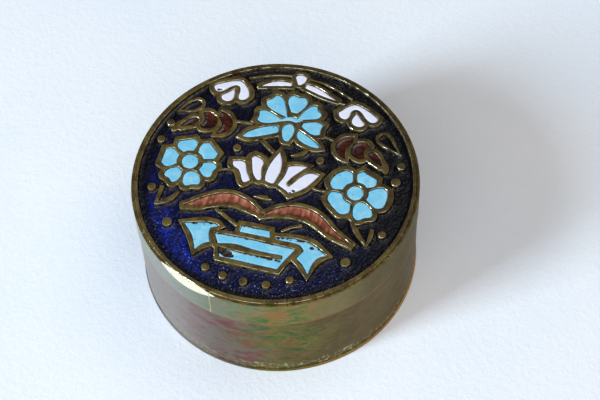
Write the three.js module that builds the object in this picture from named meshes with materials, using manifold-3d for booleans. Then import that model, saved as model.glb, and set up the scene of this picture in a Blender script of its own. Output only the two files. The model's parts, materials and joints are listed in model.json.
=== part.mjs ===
// A round brass box with a lift-off lid, enamelled on top with a basket of flowers.
// Millimetres, +Z up, origin at the centre of the underside. The picture on the lid stands upright
// for someone who looks down on it with +Y away from them.
import * as THREE from "three";
import { mergeVertices } from "three/addons/utils/BufferGeometryUtils.js";
import Module from "manifold-3d";

const wasm = await Module();
wasm.setup();

// ---- Driving sizes ----
const OUTER_RADIUS = 30;
const HEIGHT = 28.5;
const LID_HEIGHT = 7.5; // of the band that shows above the seam
const STRIP = 0.6; // sheet brass of the lid's band
const FACET = { angle: 246.5, inset: 0.85, height: 1.75 }; // flat filed across the lid's top edge
const TURNS = 48; // facets around the box

// The box
const BASE_THICK = 0.8;
const WALL_SETBACK = 0.15; // the wall stands back from the bottom plate's edge and from the lid
const WALL_RADIUS = OUTER_RADIUS - WALL_SETBACK;
const INNER_RADIUS = OUTER_RADIUS - 1.4;
const SEAM = HEIGHT - LID_HEIGHT; // where the lid's band rests on the wall's shoulder
const COLLAR_HEIGHT = 4.6; // of the thin upper wall that the lid slips over
const SLIP_FIT = 0.1;

// The lid's plate, with its rim, floor and raised walls
const SOLDER_GAP = 0.05;
const PLATE_RADIUS = OUTER_RADIUS - STRIP - SOLDER_GAP;
const PLATE_BOTTOM = HEIGHT - 2.6;
const FIELD_RADIUS = 28.65; // of the sunk field, which stands a little off centre in the plate
const FIELD_CENTRE = [-0.1, 0.35];
const FLOOR = HEIGHT - 1.6; // of the sunk field
const KEYED = 0.2; // how far a raised wall runs down into the plate before they are joined
const CUT_PAST = 1; // how far a cut runs on above the metal
const WALL = 1.0; // brass left around a cell of enamel
const VEIN = 0.75; // brass between two petals
const GAP = 0.1; // dark line between enamel and brass

// Enamels: the height each is filled to, and its plain colour and gloss
const ENAMELS = {
  cobalt: { top: HEIGHT - 1.0, color: 0x0a1560, roughness: 0.3 },
  turquoise: { top: HEIGHT - 0.1, color: 0x6cc5e8, roughness: 0.4 },
  white: { top: HEIGHT - 0.1, color: 0xe6e4f0, roughness: 0.4 },
  copper_red: { top: HEIGHT - 0.45, color: 0x9a4a34, roughness: 0.35 },
  maroon: { top: HEIGHT - 0.5, color: 0x3c0f0a, roughness: 0.25 },
};

// ---- Outlines in the plane of the lid ----
const SHARP = true; // marks a station of an outline as a corner
const SPAN_STEPS = 6; // points on each span of a curve before it is thinned
const THIN = 0.17; // how far a thinned outline may leave its curve
const MITRE = 1.3; // longest corner of a grown outline, in wall thicknesses
const DOT_SIDES = 8;

const radians = THREE.MathUtils.degToRad;
const polar = ([x, y], radius, degrees) => [
  x + radius * Math.cos(radians(degrees)),
  y + radius * Math.sin(radians(degrees)),
];

/** Points along a spline through the stations. */
function curve(stations, closed = false) {
  const knots = stations.map(([x, y]) => new THREE.Vector3(x, y, 0));
  const spans = closed ? knots.length : knots.length - 1;
  const steps = knots.length > 2 ? spans * SPAN_STEPS : 1;
  const points = new THREE.CatmullRomCurve3(knots, closed, "centripetal").getPoints(steps);
  if (closed) points.pop();
  return points.map(({ x, y }) => new THREE.Vector2(x, y));
}

/** Leaves out points that lie within THIN of the line between their neighbours, flattest first. */
function thin(points) {
  const kept = [...points];
  const rise = (i) => {
    const before = kept.at(i - 1);
    const chord = kept[(i + 1) % kept.length].clone().sub(before);
    return Math.abs(chord.cross(kept[i].clone().sub(before))) / chord.length();
  };
  while (kept.length > 4) {
    const rises = kept.map((_, i) => rise(i));
    const flattest = rises.indexOf(Math.min(...rises));
    if (rises[flattest] > THIN) break;
    kept.splice(flattest, 1);
  }
  return kept;
}

/** A closed outline, counter-clockwise: a smooth curve through the stations, broken at the SHARP ones. */
function outline(stations) {
  const corners = stations.flatMap((station, i) => (station[2] ? [i] : []));
  let points = [];
  if (!corners.length) points = curve(stations, true);
  corners.forEach((from, k) => {
    const last = k === corners.length - 1;
    const to = last ? corners[0] + stations.length : corners[k + 1];
    const run = [];
    for (let i = from; i <= to; i++) run.push(stations[i % stations.length]);
    points.push(...curve(run).slice(0, -1));
  });
  points = thin(points);
  return THREE.ShapeUtils.isClockWise(points) ? points.reverse() : points;
}

/** A stroke along a spine, with its half widths at the start, the middle and the end. */
function ribbon(spine, [start, middle, end]) {
  const line = curve(spine);
  const left = [];
  const right = [];
  line.forEach((point, i) => {
    const along = i / (line.length - 1);
    const half = start * (1 - along) + end * along + (middle - (start + end) / 2) * Math.sin(Math.PI * along);
    const tangent = line[Math.min(i + 1, line.length - 1)].clone().sub(line[Math.max(i - 1, 0)]).normalize();
    const side = new THREE.Vector2(-tangent.y, tangent.x).multiplyScalar(half);
    left.push(point.clone().add(side));
    right.unshift(point.clone().sub(side));
  });
  const points = thin([...left, ...right]);
  return THREE.ShapeUtils.isClockWise(points) ? points.reverse() : points;
}

/** Where two lines cross, each given as a point and a direction. */
function crossing(a, b) {
  const turn = a.along.cross(b.along);
  if (Math.abs(turn) < 1e-6) return b.at.clone();
  const reach = b.at.clone().sub(a.at).cross(b.along) / turn;
  return a.at.clone().addScaledVector(a.along, reach);
}

/** The outline moved outwards, or inwards where distance is negative. Sides that vanish are left out. */
function grow(points, distance) {
  let sides = points.map((point, i) => {
    const along = points[(i + 1) % points.length].clone().sub(point).normalize();
    const out = new THREE.Vector2(along.y, -along.x).multiplyScalar(distance);
    return { at: point.clone().add(out), along, corner: point };
  });
  for (;;) {
    const grown = sides.map((side, i) => {
      const meeting = crossing(sides.at(i - 1), side);
      const reach = meeting.clone().sub(side.corner);
      const longest = MITRE * Math.abs(distance);
      return reach.length() > longest ? side.corner.clone().add(reach.setLength(longest)) : meeting;
    });
    const lengths = sides.map((side, i) => grown[(i + 1) % grown.length].clone().sub(grown[i]).dot(side.along));
    const worst = lengths.indexOf(Math.min(...lengths));
    if (lengths[worst] > 0 || sides.length <= 3) return grown;
    sides = sides.filter((_, i) => i !== worst);
  }
}

/** A petal between the veins at two angles, with an outer edge of two lobes. */
function petal(centre, inner, reach, from, to) {
  const notch = 0.3;
  const shoulder = 0.82; // share of the reach where the straight sides end
  const station = (radius, share, corner) => {
    const clear = THREE.MathUtils.radToDeg(Math.asin(VEIN / 2 / radius));
    return [...polar(centre, radius, from + clear + (to - from - 2 * clear) * share), corner];
  };
  return outline([
    station(inner, 0, SHARP),
    station(reach * shoulder, 0),
    station(reach, 0.22),
    station(reach - notch, 0.5),
    station(reach, 0.78),
    station(reach * shoulder, 1),
    station(inner, 1, SHARP),
    station(inner, 0.5),
  ]);
}

/** A drop with a round end and a point. */
function teardrop(centre, radius, tip) {
  const away = THREE.MathUtils.radToDeg(Math.atan2(centre[1] - tip[1], centre[0] - tip[0]));
  const rounds = [-110, -60, 0, 60, 110].map((turn) => polar(centre, radius, away + turn));
  return outline([[...tip, SHARP], ...rounds]);
}

/** A round stud's outline. */
const stud = (centre, radius) =>
  Array.from({ length: DOT_SIDES }, (_, i) => new THREE.Vector2(...polar(centre, radius, (360 / DOT_SIDES) * i)));

/** Stations turned, stretched and moved from one side of the lid to where the other side has the motif. */
const placed = (stations, { from, to, stretch = [1, 1], turn = 0 }) =>
  stations.map(([x, y, corner]) => {
    const moved = new THREE.Vector2((x - from[0]) * stretch[0], (y - from[1]) * stretch[1]);
    moved.rotateAround(new THREE.Vector2(), radians(turn));
    return [moved.x + to[0], moved.y + to[1], corner];
  });

// ---- The picture: cells of enamel, each with brass around it, and strokes of bare brass ----
const cells = []; // { name, enamel, lobes, wall }
const strokes = []; // outlines

function cell(name, enamel, lobes, wall = WALL) {
  cells.push({ name, enamel, lobes, wall });
}

function rosette(name, heart, heartRadius, veins, reaches) {
  const inner = heartRadius + 0.8;
  const eye = [0, 60, 120, 180, 240, 300].map((turn) => polar(heart, heartRadius, turn));
  cell(`${name}_heart`, "turquoise", [outline(eye)]);
  veins.forEach((from, i) => {
    const to = i + 1 < veins.length ? veins[i + 1] : veins[0] + 360;
    cell(`${name}_petal_${i + 1}`, "turquoise", [petal(heart, inner, reaches[i], from, to)]);
  });
}

function topFlower() {
  const middle = [-0.3, 15];
  const open = 1.25; // petals that run together in the middle start here
  const closed = 2.5;
  cell("flower_petals", "turquoise", [
    petal(middle, open, 7.4, 158, 198),
    petal(middle, open, 7.7, 114, 158),
    petal(middle, open, 6.9, 16, 61),
    outline([[-2.9, 14.9], [-1.6, 16.1], [-0.4, 16.5], [1.0, 16.1], [2.1, 15.7], [1.0, 15.0], [-0.4, 15.2], [-1.8, 14.8]]),
  ]);
  cell("flower_top_petal", "turquoise", [petal(middle, closed, 7.0, 61, 114)]);
  cell("flower_side_petal", "turquoise", [petal(middle, closed, 7.1, -27, 16)]);
  cell("flower_bud", "turquoise", [
    outline([[-0.3, 14.6], [-1.5, 13.9], [-1.8, 12.9], [-1.4, 11.2], [-0.5, 9.9], [0.4, 9.9], [0.8, 11.2], [1.1, 12.8], [0.7, 14.1]]),
  ], 0.8);
  cell("left_sepal", "turquoise", [
    outline([[-2.4, 13.1], [-3.2, 13.5], [-5.4, 12.4], [-8.4, 11.0], [-9.7, 9.3, SHARP], [-8.4, 9.2], [-6.2, 9.9], [-3.6, 11.3], [-2.3, 11.9]]),
  ]);
  cell("right_sepal", "turquoise", [
    outline([[1.9, 13.4], [3.2, 12.9], [4.9, 11.8], [6.5, 10.8], [7.3, 9.8, SHARP], [6.0, 9.6], [4.3, 9.95], [2.2, 10.9], [1.6, 11.9]]),
  ]);
  strokes.push(
    ribbon([[-5.3, 9.3], [-3.7, 8.1], [-1.9, 6.7]], [0.45, 0.45, 0.45]),
    ribbon([[5.0, 9.0], [3.7, 7.5], [1.7, 6.7]], [0.35, 0.5, 0.15]),
  );
}

function lotus() {
  cell("lotus_petal_1", "white", [
    outline([[-9.9, 2.9, SHARP], [-8.4, 3.3], [-7.2, 3.1], [-6.3, 1.1], [-5.0, -1.0, SHARP], [-6.1, -1.95], [-6.7, -1.8], [-7.7, 0.2], [-8.5, 1.1], [-9.7, 1.8, SHARP]]),
  ]);
  cell("lotus_petal_2", "white", [
    outline([[-6.2, 4.5], [-5.7, 5.15], [-4.8, 5.0], [-3.4, 4.1], [-3.4, 2.4], [-2.9, -0.5], [-3.4, -0.8], [-4.1, -0.6], [-5.0, 1.2]]),
  ]);
  cell("lotus_petal_3", "white", [
    outline([[-0.75, 7.3, SHARP], [-1.6, 5.4], [-2.2, 3.2], [-2.4, 0.3], [-2.1, -0.7], [0.0, -0.8], [0.35, 0.6], [0.6, 2.8], [0.2, 5.3]]),
  ]);
  cell("lotus_right_petals", "white", [
    outline([[0.55, -1.0, SHARP], [1.5, 1.4], [1.8, 4.0, SHARP], [3.6, 4.6], [5.9, 4.75, SHARP], [4.0, 2.4], [2.75, 0.4], [2.6, -0.3], [3.0, -0.8, SHARP], [2.8, -2.1, SHARP]]),
    outline([[1.9, -1.5, SHARP], [3.1, -0.7], [3.8, 0.1], [4.8, 1.6], [5.9, 3.0], [7.2, 3.4], [8.8, 3.2, SHARP], [7.6, 0.9], [6.2, -0.9], [3.6, -2.8, SHARP]]),
  ]);
  strokes.push(
    ribbon([[-12.0, 0.0], [-10.7, 0.2], [-9.4, 0.7]], [0.3, 0.3, 0.3]),
    ribbon([[7.2, 0.1], [9.2, -0.4], [11.2, -0.3]], [0.3, 0.3, 0.3]),
    ribbon([[-3.5, -4.75], [-1.5, -4.6], [0.4, -4.8]], [0.1, 0.5, 0.1]),
  );
}

function wings() {
  const wall = 0.9;
  const spines = {
    left_wing: [[-1.0, -8.7], [-3.6, -7.3], [-7.6, -6.25], [-11.2, -7.1], [-14.2, -8.9], [-17.0, -9.9]],
    right_wing: [[-0.6, -8.8], [2.4, -7.2], [6.5, -6.35], [10.4, -7.3], [14.2, -9.8], [18.6, -11.8]],
  };
  const halfWidths = [0.2, 1.2, 0.1];
  for (const [name, spine] of Object.entries(spines)) {
    cell(name, "copper_red", [ribbon(spine, halfWidths)], wall);
  }
}

function basket() {
  cell("basket_bands", "turquoise", [
    outline([[-9.1, -15.0, SHARP], [-3.5, -14.85], [2.0, -15.0], [8.1, -15.25, SHARP], [6.6, -18.3, SHARP], [5.8, -18.3, SHARP], [5.7, -17.4, SHARP], [0.0, -17.3], [-5.2, -16.8], [-7.9, -17.4, SHARP]]),
    outline([[-7.6, -18.0, SHARP], [-1.0, -18.4], [5.6, -18.2, SHARP], [6.7, -18.1, SHARP], [5.5, -20.75, SHARP], [-6.8, -20.3, SHARP]]),
  ]);
  cell("basket_collar", "turquoise", [
    outline([[-4.1, -12.0, SHARP], [2.0, -12.1, SHARP], [2.45, -13.85, SHARP], [-4.3, -13.8, SHARP]]),
  ]);
  cell("basket_left_handle", "turquoise", [
    outline([[-16.0, -14.0, SHARP], [-13.0, -13.5], [-9.4, -12.8], [-8.5, -13.3, SHARP], [-10.1, -14.1, SHARP], [-10.0, -15.6], [-9.3, -17.3, SHARP], [-10.7, -18.1], [-12.05, -19.9, SHARP], [-12.7, -18.6], [-13.6, -16.6], [-14.9, -15.4]]),
  ]);
  cell("basket_right_handle", "turquoise", [
    outline([[3.4, -13.3, SHARP], [6.2, -13.0], [9.2, -12.9], [11.8, -13.6], [14.6, -15.4, SHARP], [12.9, -16.5], [12.4, -18.3], [11.7, -20.7, SHARP], [10.2, -18.7], [8.5, -17.4, SHARP], [9.6, -15.3, SHARP], [8.6, -14.3], [3.4, -14.0, SHARP]]),
  ]);
  strokes.push(
    ribbon([[-10.3, -9.3], [-7.7, -10.9], [-5.0, -12.3]], [0.35, 0.35, 0.35]),
    ribbon([[8.0, -9.5], [5.8, -10.5], [4.2, -11.8]], [0.35, 0.35, 0.25]),
  );
}

function bow() {
  const wall = 0.75;
  cell("bow_jewel", "white", [
    outline([[-2.2, 26.7], [-1.7, 27.35], [-0.8, 27.5], [0.2, 27.3], [0.55, 26.7], [0.0, 25.4], [-0.5, 24.75], [-1.2, 24.75], [-1.7, 25.4]]),
  ], wall);
  cell("bow_left_strip", "white", [ribbon([[-2.3, 24.6], [-5.0, 24.3], [-7.2, 23.5], [-8.9, 22.8]], [0.5, 0.7, 0.1])], wall);
  cell("bow_right_strip", "white", [ribbon([[0.6, 24.8], [2.5, 24.4], [5.0, 23.4], [8.1, 22.4]], [0.6, 0.7, 0.1])], wall);
  strokes.push(
    ribbon([[-2.4, 27.0], [-6.5, 26.3], [-9.5, 25.3], [-11.8, 24.3]], [0.3, 0.3, 0.2]),
    ribbon([[0.8, 26.9], [5.0, 26.2], [8.2, 24.9], [11.2, 23.5]], [0.3, 0.3, 0.2]),
    ribbon([[8.2, 22.2], [9.3, 21.9], [10.2, 21.9]], [0.3, 0.3, 0.3]),
  );
}

function fans() {
  const wall = 0.9;
  const arch = [[8.9, 19.6], [9.3, 18.6], [10.3, 18.05], [11.2, 18.2], [11.5, 19.5], [11.9, 20.6], [12.6, 21.0], [13.3, 20.8], [14.4, 19.7], [15.5, 18.7], [16.6, 18.4], [17.5, 18.9], [17.7, 19.6], [16.6, 20.5], [14.4, 21.6], [12.6, 22.35], [11.4, 22.1], [10.2, 21.0]];
  const core = [[12.8, 20.25, SHARP], [12.45, 19.2], [12.15, 17.8], [12.7, 17.05], [13.7, 16.8], [14.8, 17.05], [15.25, 17.8], [14.4, 18.8]];
  const mirrored = { from: [13.3, 19.5], to: [-14.6, 20.2], stretch: [-0.93, 1.1], turn: -7 };
  cell("right_fan_arch", "white", [outline(arch)], wall);
  cell("right_fan_core", "white", [outline(core)], wall);
  cell("left_fan_arch", "white", [outline(placed(arch, mirrored))], wall);
  cell("left_fan_core", "white", [outline(placed(core, mirrored))], wall);
}

function leaves() {
  const wall = 0.95;
  const scales = [
    [[13.6, 14.2, SHARP], [12.0, 13.7], [10.7, 12.5], [10.3, 11.0], [10.8, 9.7], [12.0, 8.6], [13.1, 8.2, SHARP], [13.0, 9.4], [12.5, 10.6], [12.8, 11.6], [13.7, 12.6]],
    [[14.2, 12.5], [15.2, 13.1], [16.6, 13.2], [17.3, 12.5], [16.6, 11.6], [16.5, 10.6], [17.1, 9.6], [16.6, 9.0], [15.0, 9.1], [14.0, 9.7], [13.6, 10.9]],
    [[17.4, 10.6], [18.2, 11.2], [19.2, 10.8], [20.2, 9.7], [21.0, 8.4], [20.6, 8.1], [19.3, 8.7], [17.9, 9.7]],
  ];
  const tip = [[20.4, 8.9], [21.6, 7.9], [22.3, 6.6]];
  const mirrored = { from: [16, 11], to: [-17.9, 11.55], stretch: [-1, 1], turn: -3 };
  const tipHalves = [1.2, 0.9, 0.25];
  scales.forEach((stations, i) => {
    cell(`right_leaf_${i + 1}`, "maroon", [outline(stations)], wall);
    cell(`left_leaf_${i + 1}`, "maroon", [outline(placed(stations, mirrored))], wall);
  });
  strokes.push(
    ribbon(tip, tipHalves),
    ribbon(placed(tip, mirrored), tipHalves),
    ribbon([[6.9, 12.9], [8.3, 12.8], [9.8, 12.5]], [0.25, 0.25, 0.35]),
    ribbon([[-12.7, 12.6], [-10.3, 12.9], [-7.2, 12.9]], [0.4, 0.35, 0.35]),
  );
}

function drops() {
  const wall = 0.7;
  cell("right_teardrop", "cobalt", [teardrop([20, 15], 1.15, [23.6, 12.1])], wall);
  cell("left_teardrop", "cobalt", [teardrop([-20.9, 15.3], 1.0, [-24.1, 13.0])], wall);
}

function sprigs() {
  strokes.push(
    ribbon([[-22.6, -6.3], [-22.7, -8.8], [-22.8, -11.1]], [0.5, 0.45, 0.3]),
    ribbon([[-18.9, -6.9], [-20.0, -8.9], [-22.8, -10.9]], [0.35, 0.55, 0.3]),
    ribbon([[17.7, -6.3], [19.2, -8.7], [21.6, -11.3]], [0.35, 0.5, 0.2]),
    ribbon([[22.2, -7.3], [22.2, -9.2], [21.8, -11.4]], [0.4, 0.45, 0.2]),
  );
}

function studs() {
  const small = 0.85;
  const large = 1.0;
  const ring = [ // [angle, distance from the centre, radius]
    [159.5, 26.9, small], [169.3, 26.5, small], [195.8, 25.7, small], [217.1, 24.2, large],
    [249.2, 24.8, small], [258.6, 24.8, small], [268.8, 24.8, small], [279.7, 24.9, small], [290.8, 24.0, small],
    [319.2, 24.5, large], [341.6, 25.7, small], [11.3, 25.0, large], [19.9, 26.4, small],
    [147.7, 11.6, small], [40.4, 10.5, small],
  ];
  for (const [angle, distance, radius] of ring) strokes.push(stud(polar([0, 0], distance, angle), radius));
}

rosette("left_rosette", [-18.6, 0.7], 1.9, [15, 79, 145, 211, 261, 317], [6.3, 5.9, 6.2, 6.3, 6.1, 5.9]);
rosette("right_rosette", [16.9, 0.5], 1.85, [30, 103, 183, 272, 326], [5.7, 6.0, 6.0, 6.7, 6.8]);
topFlower();
lotus();
wings();
basket();
bow();
fans();
leaves();
drops();
sprigs();
studs();

// ---- Solids ----
/** A closed geometry as a solid that can be joined and cut. */
function solid(geometry) {
  const bare = geometry.clone().deleteAttribute("normal").deleteAttribute("uv");
  const merged = bare.index ? mergeVertices(bare.toNonIndexed()) : mergeVertices(bare);
  return new wasm.Manifold(
    new wasm.Mesh({
      numProp: 3,
      vertProperties: new Float32Array(merged.attributes.position.array),
      triVerts: new Uint32Array(merged.index.array),
    }),
  );
}

/** A joined or cut solid as a geometry again. */
function geometryOf(made) {
  const { vertProperties, triVerts } = made.getMesh();
  const geometry = new THREE.BufferGeometry();
  geometry.setAttribute("position", new THREE.BufferAttribute(vertProperties, 3));
  geometry.setIndex(new THREE.BufferAttribute(triVerts, 1));
  geometry.computeVertexNormals();
  return geometry;
}

const joined = (solids) => solids.reduce((all, next) => all.add(next));

/** An outline stood up between two heights. */
function prism(points, bottom, top) {
  const geometry = new THREE.ExtrudeGeometry(new THREE.Shape(points), { depth: top - bottom, bevelEnabled: false });
  return solid(geometry.translate(0, 0, bottom));
}

/** A turned piece: its profile of [radius, height] runs from the axis to the axis, or closes on itself. */
function turned(profile) {
  const points = profile.map(([radius, height]) => new THREE.Vector2(radius, height));
  if (points[0].x > 0) points.push(points[0].clone());
  return new THREE.LatheGeometry(points, TURNS).rotateX(Math.PI / 2);
}

const bottomPlate = turned([[0, 0], [OUTER_RADIUS, 0], [OUTER_RADIUS, BASE_THICK], [0, BASE_THICK]]);

const collarRadius = OUTER_RADIUS - STRIP - SLIP_FIT;
const boxWall = turned([
  [INNER_RADIUS, BASE_THICK],
  [WALL_RADIUS, BASE_THICK],
  [WALL_RADIUS, SEAM],
  [collarRadius, SEAM],
  [collarRadius, SEAM + COLLAR_HEIGHT],
  [INNER_RADIUS, SEAM + COLLAR_HEIGHT],
]);

/** The metal that was filed away across the lid's top edge, and the air above it. */
function filedAway() {
  const size = OUTER_RADIUS;
  const block = new THREE.BoxGeometry(size, size, size)
    .translate(size / 2, 0, 0)
    .rotateY(-Math.atan2(FACET.inset, FACET.height))
    .translate(OUTER_RADIUS - FACET.inset, 0, HEIGHT)
    .rotateZ(radians(FACET.angle));
  return solid(block);
}

/** The strip around the lid, with the flat that was filed across its top edge. */
function lidBand() {
  const strip = turned([
    [OUTER_RADIUS - STRIP, SEAM],
    [OUTER_RADIUS, SEAM],
    [OUTER_RADIUS, HEIGHT],
    [OUTER_RADIUS - STRIP, HEIGHT],
  ]);
  return solid(strip).subtract(filedAway());
}

/** The outer outlines of all the raised brass, moved outwards by a clearance. */
const brassOutlines = (clearance) => [
  ...strokes.map((points) => grow(points, clearance)),
  ...cells.flatMap(({ lobes, wall }) => lobes.map((lobe) => thin(grow(lobe, wall + clearance)))),
];

/** A disc that fills the sunk field between two heights. */
const field = (radius, bottom, top) =>
  solid(turned([[0, bottom], [radius, bottom], [radius, top], [0, top]]).translate(...FIELD_CENTRE, 0));

function lidPlate() {
  const blank = solid(turned([[0, PLATE_BOTTOM], [PLATE_RADIUS, PLATE_BOTTOM], [PLATE_RADIUS, HEIGHT], [0, HEIGHT]]));
  const raised = brassOutlines(0);
  const sunk = cells.flatMap(({ lobes }) => lobes);
  return joined(raised.map((points) => prism(points, FLOOR - KEYED, HEIGHT)))
    .subtract(joined(sunk.map((points) => prism(points, FLOOR, HEIGHT + CUT_PAST))))
    .add(blank.subtract(field(FIELD_RADIUS, FLOOR, HEIGHT + CUT_PAST)))
    .subtract(filedAway());
}

/** The dark ground, as the separate fields that the raised brass leaves, the largest first. */
function groundFields() {
  const sheet = field(FIELD_RADIUS - GAP, FLOOR, ENAMELS.cobalt.top);
  return sheet
    .subtract(joined(brassOutlines(GAP).map((points) => prism(points, FLOOR - KEYED, HEIGHT))))
    .decompose()
    .sort((a, b) => b.volume() - a.volume());
}

/** The enamel of one cell, clear of the brass all round. */
const filling = ({ lobes, enamel }) =>
  joined(lobes.map((lobe) => prism(grow(lobe, -GAP), FLOOR, ENAMELS[enamel].top)));

// ---- The box as a scene graph ----
const brass = (color, roughness) => new THREE.MeshStandardMaterial({ color, roughness, metalness: 1 });
const glaze = ({ color, roughness }) => new THREE.MeshStandardMaterial({ color, roughness, metalness: 0 });

function piece(name, geometry, material) {
  const mesh = new THREE.Mesh(geometry, material);
  mesh.name = name;
  return mesh;
}

const box = new THREE.Group();
box.add(
  piece("bottom_plate", bottomPlate, brass(0x7d7350, 0.45)),
  piece("box_wall", boxWall, brass(0x7b8058, 0.4)),
);

const lid = new THREE.Group();
lid.add(
  piece("lid_band", geometryOf(lidBand()), brass(0x808662, 0.38)),
  piece("lid_plate", geometryOf(lidPlate()), brass(0x5f5228, 0.5)),
);
groundFields().forEach((made, i) => lid.add(piece(`ground_enamel_${i + 1}`, geometryOf(made), glaze(ENAMELS.cobalt))));
for (const made of cells) lid.add(piece(made.name, geometryOf(filling(made)), glaze(ENAMELS[made.enamel])));
box.add(lid);

export default box;
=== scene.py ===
"""A small round brass box with an enamelled lid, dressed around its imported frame.

The lid's raised brass and its enamels take their outlines from the frame's own solids. Each gets
rounded, slightly uneven edges, and the enamels get a fired surface with pits, chips and bare spots.
The wall, the lid's band and the base are spun afresh, with the flat that was filed across the band,
its solder seam and the nicks in the rim. Lengths are in metres, as in the frame.
"""

import json
import logging
import math
import random
import sys
from collections.abc import Callable, Iterator, Sequence
from contextlib import contextmanager
from dataclasses import dataclass, field
from enum import Enum

import bmesh
import bpy
from mathutils import Euler, Matrix, Vector

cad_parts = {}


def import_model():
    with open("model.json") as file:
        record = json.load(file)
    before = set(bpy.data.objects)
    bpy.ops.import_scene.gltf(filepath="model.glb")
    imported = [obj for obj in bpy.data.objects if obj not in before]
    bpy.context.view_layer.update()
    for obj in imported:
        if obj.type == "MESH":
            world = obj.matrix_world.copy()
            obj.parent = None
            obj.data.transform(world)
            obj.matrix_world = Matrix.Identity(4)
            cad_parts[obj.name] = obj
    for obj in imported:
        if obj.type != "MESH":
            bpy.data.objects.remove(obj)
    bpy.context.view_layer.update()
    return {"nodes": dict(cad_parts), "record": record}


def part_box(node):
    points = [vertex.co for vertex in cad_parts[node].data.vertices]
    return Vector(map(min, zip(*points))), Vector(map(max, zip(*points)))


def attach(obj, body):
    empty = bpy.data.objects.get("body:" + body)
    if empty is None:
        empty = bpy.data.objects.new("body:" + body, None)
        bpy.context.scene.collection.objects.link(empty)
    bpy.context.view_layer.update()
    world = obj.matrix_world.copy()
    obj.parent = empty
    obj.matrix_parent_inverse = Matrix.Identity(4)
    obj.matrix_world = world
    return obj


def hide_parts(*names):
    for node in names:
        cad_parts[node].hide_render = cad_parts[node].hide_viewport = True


LOG = logging.getLogger("enamelled_box")

MM = 0.001
BODY = "root"
WELD = 0.001 * MM

Colour = tuple[float, float, float]
Socket = bpy.types.NodeSocket
Curve2D = bpy.types.Object


class Node(Enum):
    """The solids that the frame brings, by the part of the box that each one is."""

    BASE = "bottom_plate"
    WALL = "box_wall"
    BAND = "lid_band"
    PLATE = "lid_plate"
    GROUND = "ground_enamel_1"


class Slot(Enum):
    """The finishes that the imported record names."""

    BASE = "base_brass"
    WALL = "wall_brass"
    BAND = "band_brass"
    RELIEF = "relief_brass"
    COBALT = "cobalt_enamel"
    TURQUOISE = "turquoise_enamel"
    WHITE = "white_enamel"
    COPPER_RED = "copper_red_enamel"
    MAROON = "maroon_enamel"


# ---------------------------------------------------------------- working in Blender


def srgb(red: int, green: int, blue: int) -> Colour:
    """Turns a colour as seen on a screen into the linear colour that shaders take.

    Args:
        red: Red, 0 to 255.
        green: Green, 0 to 255.
        blue: Blue, 0 to 255.

    Returns:
        The linear red, green and blue.
    """

    def linear(value: int) -> float:
        share = value / 255
        return share / 12.92 if share <= 0.04045 else ((share + 0.055) / 1.055) ** 2.4

    return linear(red), linear(green), linear(blue)


def deselect_all() -> None:
    """Leaves nothing selected and nothing active, in object mode."""
    if bpy.context.object and bpy.context.object.mode != "OBJECT":
        bpy.ops.object.mode_set(mode="OBJECT")
    bpy.ops.object.select_all(action="DESELECT")


def make_active(piece: bpy.types.Object) -> None:
    """Selects one object alone and makes it the active one."""
    deselect_all()
    piece.select_set(True)
    bpy.context.view_layer.objects.active = piece


@contextmanager
def editing(piece: bpy.types.Object) -> Iterator[None]:
    """Edit mode on one object, and object mode again afterwards."""
    make_active(piece)
    bpy.ops.object.mode_set(mode="EDIT")
    try:
        yield
    finally:
        bpy.ops.object.mode_set(mode="OBJECT")


def select_faces(piece: bpy.types.Object, wanted: Callable[[bmesh.types.BMFace], bool]) -> None:
    """Selects, in edit mode, the faces that pass a test.

    Args:
        piece: The mesh object being edited.
        wanted: Says of a face whether it is wanted.
    """
    bpy.ops.mesh.select_mode(type="FACE")
    bpy.ops.mesh.select_all(action="DESELECT")
    mesh = bmesh.from_edit_mesh(piece.data)
    for face in mesh.faces:
        face.select_set(wanted(face))
    bmesh.update_edit_mesh(piece.data)


def select_edges(piece: bpy.types.Object, wanted: Callable[[bmesh.types.BMEdge], bool]) -> None:
    """Selects, in edit mode, the edges that pass a test.

    Args:
        piece: The mesh object being edited.
        wanted: Says of an edge whether it is wanted.
    """
    bpy.ops.mesh.select_mode(type="EDGE")
    bpy.ops.mesh.select_all(action="DESELECT")
    mesh = bmesh.from_edit_mesh(piece.data)
    for edge in mesh.edges:
        edge.select_set(wanted(edge))
    bmesh.update_edit_mesh(piece.data)


def apply_modifier(piece: bpy.types.Object, kind: str, **settings: object) -> None:
    """Adds a modifier to a piece and applies it.

    Args:
        piece: The object to change.
        kind: Blender's name for the modifier.
        **settings: Values for the modifier's own properties.
    """
    make_active(piece)
    modifier = piece.modifiers.new(kind.lower(), kind)
    for name, value in settings.items():
        setattr(modifier, name, value)
    bpy.ops.object.modifier_apply(modifier=modifier.name)


def apply_place(piece: bpy.types.Object) -> None:
    """Moves an object's place, turn and size into its mesh, so that it sits at the origin."""
    make_active(piece)
    bpy.ops.object.transform_apply(location=True, rotation=True, scale=True)


def finish_shape(
    piece: bpy.types.Object, name: str, sharp: float = 38, flat_faces: bool = False
) -> None:
    """Names a finished mesh, turns its faces outwards and shades it smooth between sharp edges.

    Args:
        piece: The mesh object.
        name: The piece's name.
        sharp: The angle between faces, in degrees, past which an edge stays sharp.
        flat_faces: Whether broad faces stay flat up to their rounded edges.
    """
    piece.name = name
    piece.data.name = name
    with editing(piece):
        bpy.ops.mesh.select_all(action="SELECT")
        bpy.ops.mesh.remove_doubles(threshold=WELD)
        bpy.ops.mesh.normals_make_consistent(inside=False)
    make_active(piece)
    bpy.ops.object.shade_smooth_by_angle(angle=math.radians(sharp))
    if flat_faces:
        apply_modifier(piece, "WEIGHTED_NORMAL", keep_sharp=True, weight=80)


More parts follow.
